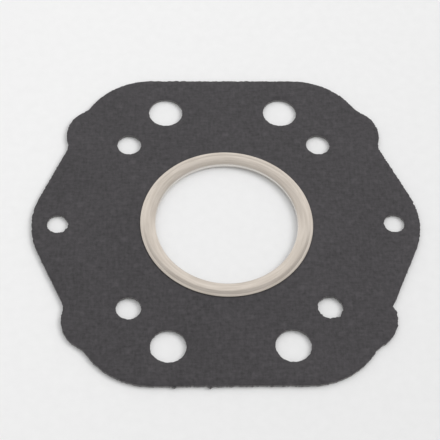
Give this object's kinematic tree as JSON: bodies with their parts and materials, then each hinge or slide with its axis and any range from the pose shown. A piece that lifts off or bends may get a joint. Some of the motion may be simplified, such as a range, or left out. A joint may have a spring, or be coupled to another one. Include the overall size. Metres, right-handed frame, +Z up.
{
  "type": "cylinder head gasket",
  "caption": "Flat symmetrical cylinder head gasket: dark composite sheet with a folded metal fire ring round its bore and holes for studs and coolant.",
  "frame": {"origin": "on the bore's axis, in the plane that the gasket rests on", "axes": "+X along the gasket's length through the two nose holes, +Y across it, +Z up through its thickness"},
  "size_m": [0.1124, 0.105, 0.002],
  "materials": {
    "composite_sheet": "matt graphite-coloured fibre composite, faintly mottled, with a lattice of pale core marks",
    "stainless_ring": "satin stainless strip with fine turning lines, warm grey"
  },
  "bodies": {
    "root": {"gasket_sheet": "composite_sheet", "fire_ring": "stainless_ring"}
  },
  "joints": []
}
